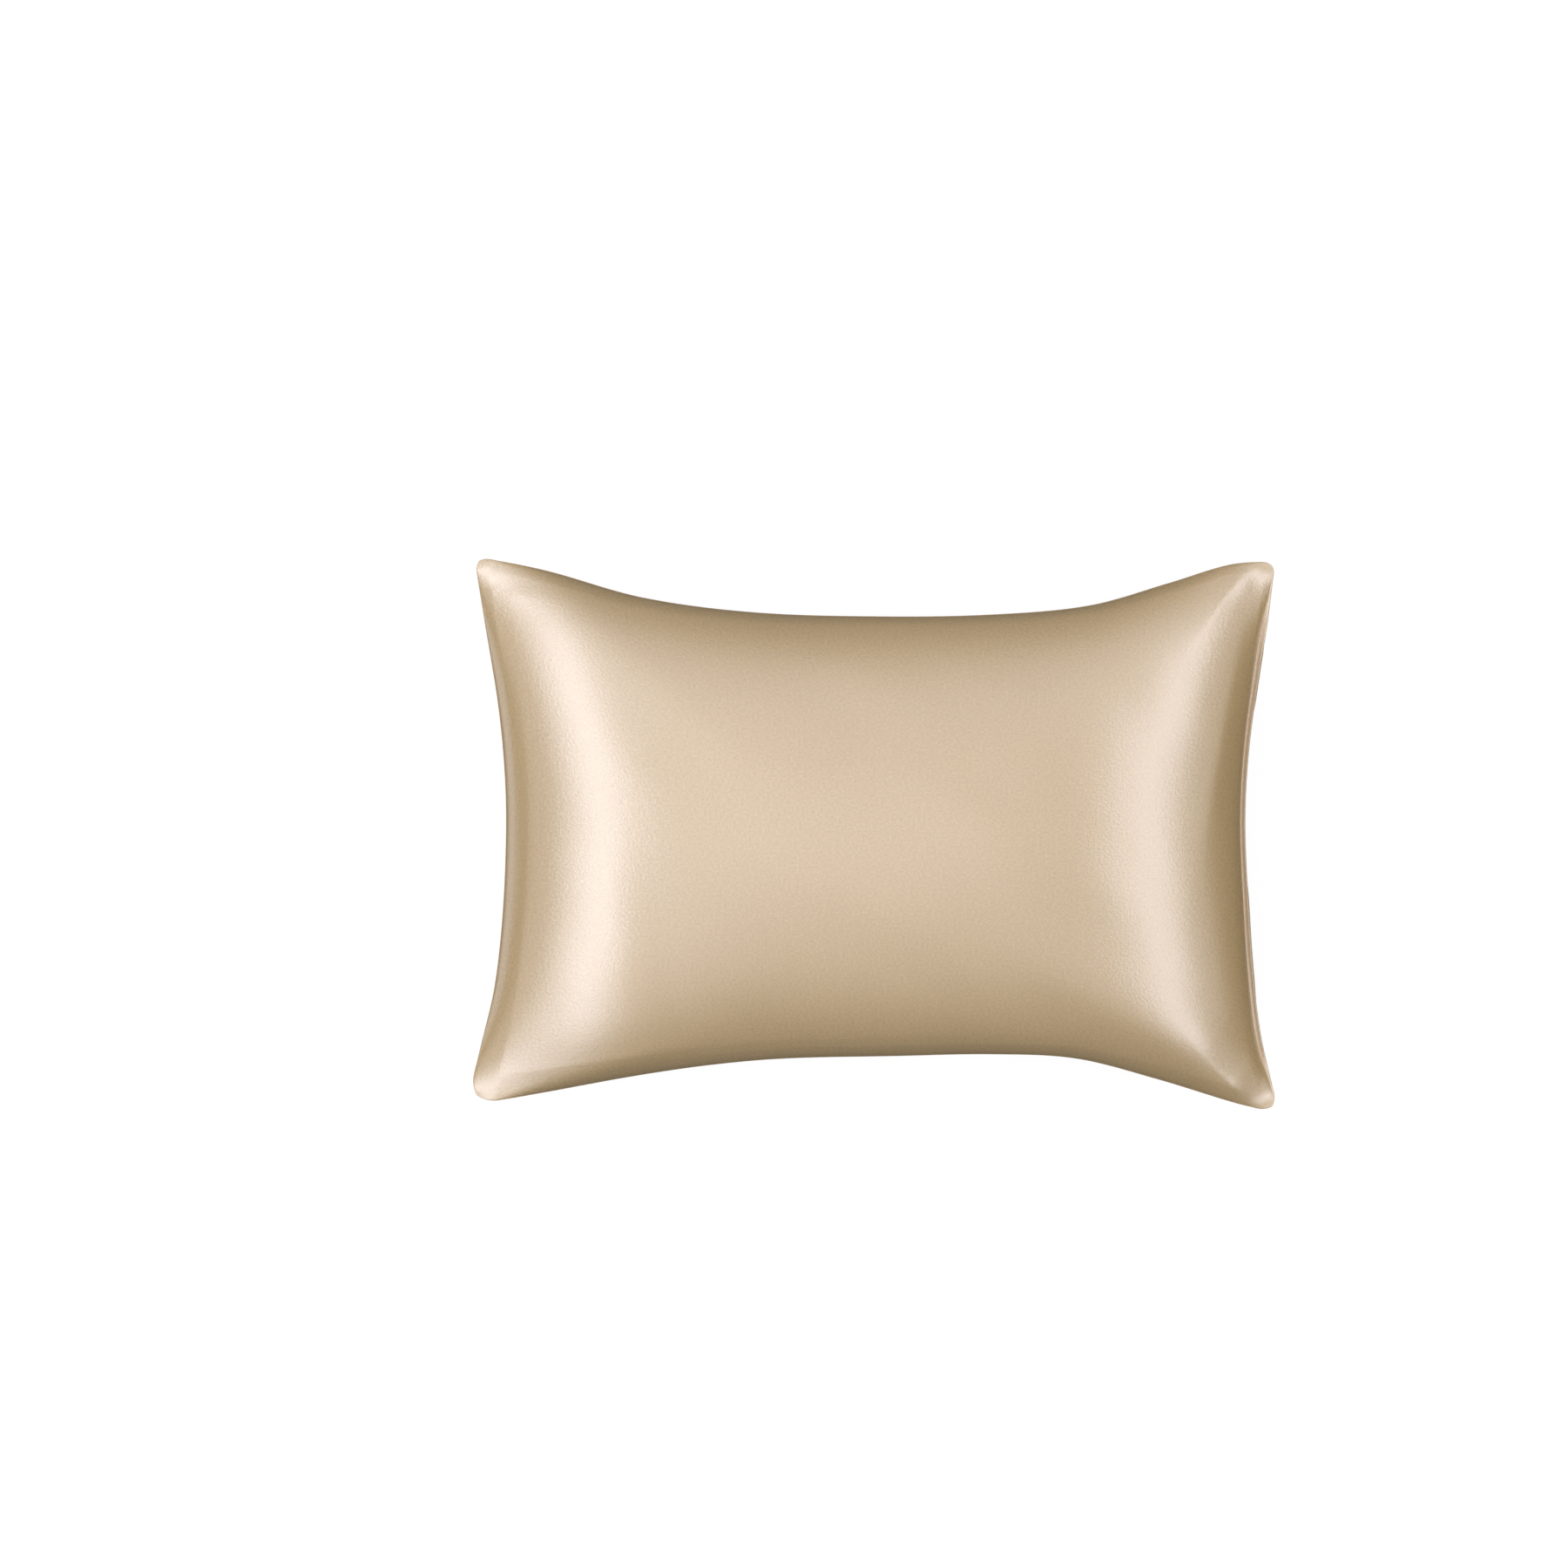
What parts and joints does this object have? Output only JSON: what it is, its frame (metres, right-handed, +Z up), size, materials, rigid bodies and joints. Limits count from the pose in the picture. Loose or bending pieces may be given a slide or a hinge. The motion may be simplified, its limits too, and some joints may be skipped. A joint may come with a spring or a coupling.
{
  "type": "pillowcase",
  "caption": "Filled satin envelope pillowcase lying on its back: crowned panels, drawn-in sewn edges, rounded corner tips and a lipped open end with a turned-in flap.",
  "frame": {"origin": "bottom centre of the bounding box: the middle of the filled case, on the surface it rests on", "axes": "+Z up, out of the front panel; +X along the length, towards the open end; +Y across the width, towards the front panel's upper long edge"},
  "size_m": [0.7403, 0.5086, 0.1952],
  "materials": {
    "satin": "champagne satin with a soft sheen"
  },
  "bodies": {
    "root": {"filled_case": "satin", "envelope_flap": "satin"}
  },
  "joints": []
}
